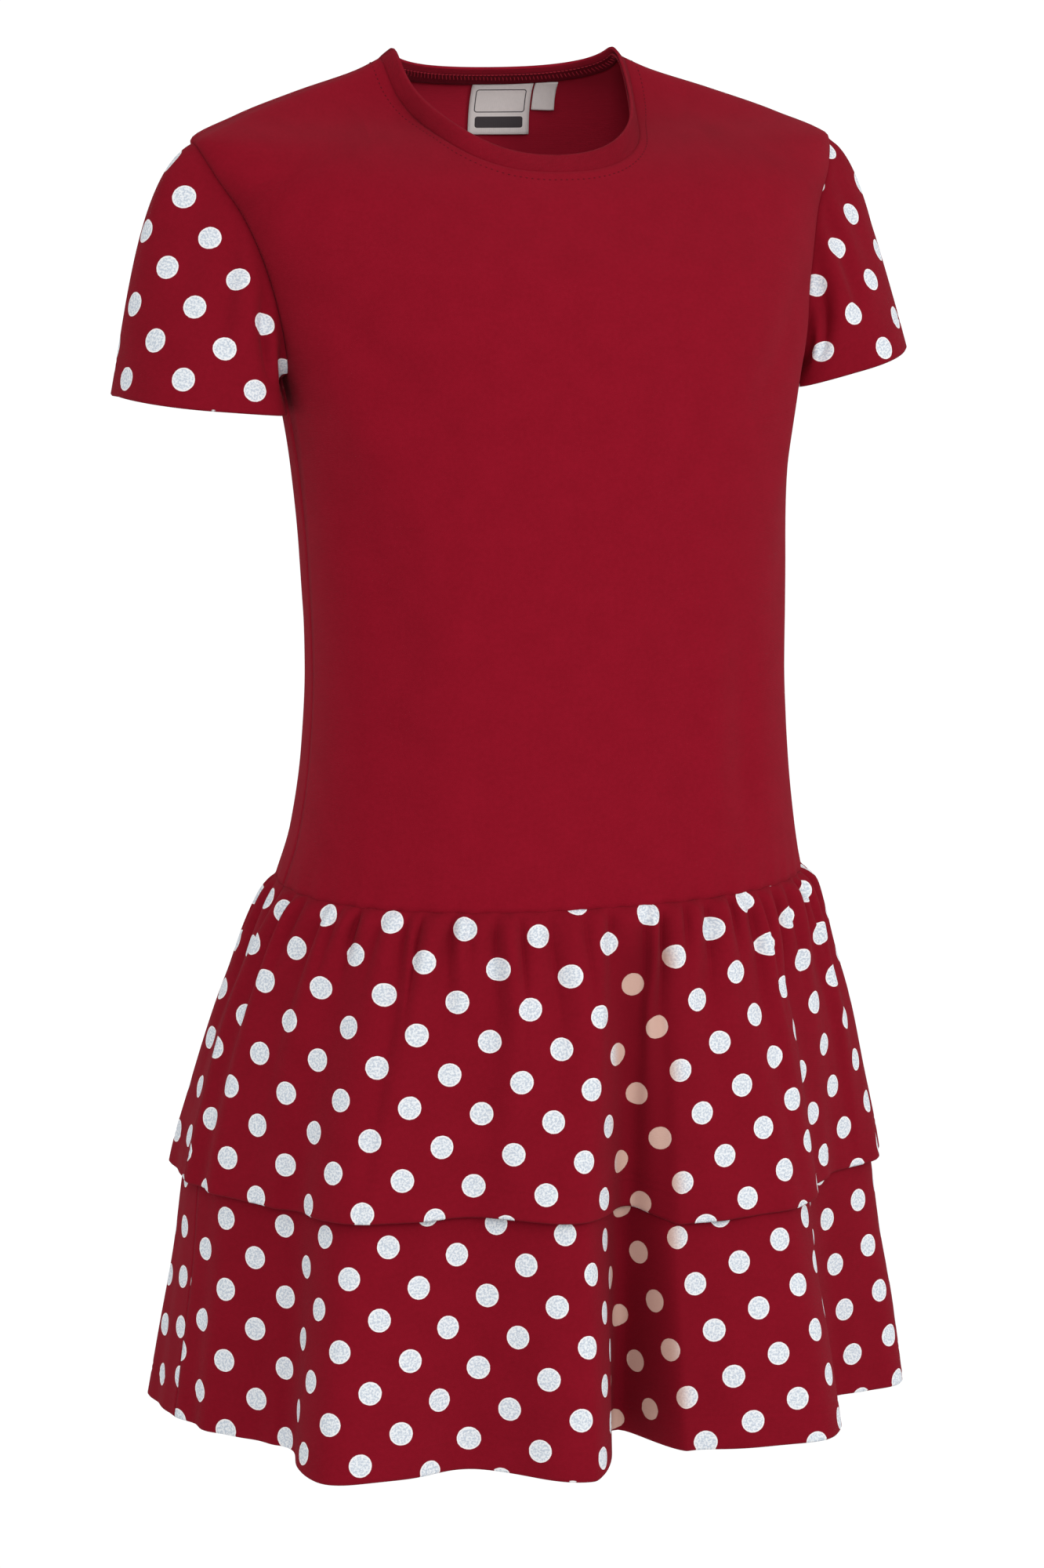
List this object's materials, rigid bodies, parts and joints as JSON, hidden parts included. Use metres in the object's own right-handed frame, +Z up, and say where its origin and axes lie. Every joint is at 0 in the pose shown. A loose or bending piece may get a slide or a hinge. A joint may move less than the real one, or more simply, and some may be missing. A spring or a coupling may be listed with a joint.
{
  "type": "girl's short-sleeved dress with a plain jersey bodice and two gathered polka-dot ruffles, flamenco style",
  "caption": "Red jersey dress with a round rib neck, short dotted sleeves and gathered dotted ruffles from a dropped waist, in the hollow form of a worn dress.",
  "frame": {"origin": "midway between the two points where the neck meets the shoulders, level with the top of the shoulders", "axes": "+Z up, front towards -Y, +X towards the wearer's left"},
  "size_m": [0.4285, 0.292, 0.7067],
  "materials": {
    "red_jersey": "matte",
    "dotted_jersey": "matte",
    "red_rib": "matte",
    "label_white": "satin"
  },
  "bodies": {
    "root": {"bodice_front": "red_jersey", "bodice_back": "red_jersey", "neck_band": "red_rib", "sleeve_left": "dotted_jersey", "sleeve_right": "dotted_jersey", "upper_ruffle_front": "dotted_jersey", "upper_ruffle_back": "dotted_jersey", "lower_ruffle_front": "dotted_jersey", "lower_ruffle_back": "dotted_jersey", "label_main": "label_white", "label_size": "label_white"}
  },
  "joints": []
}
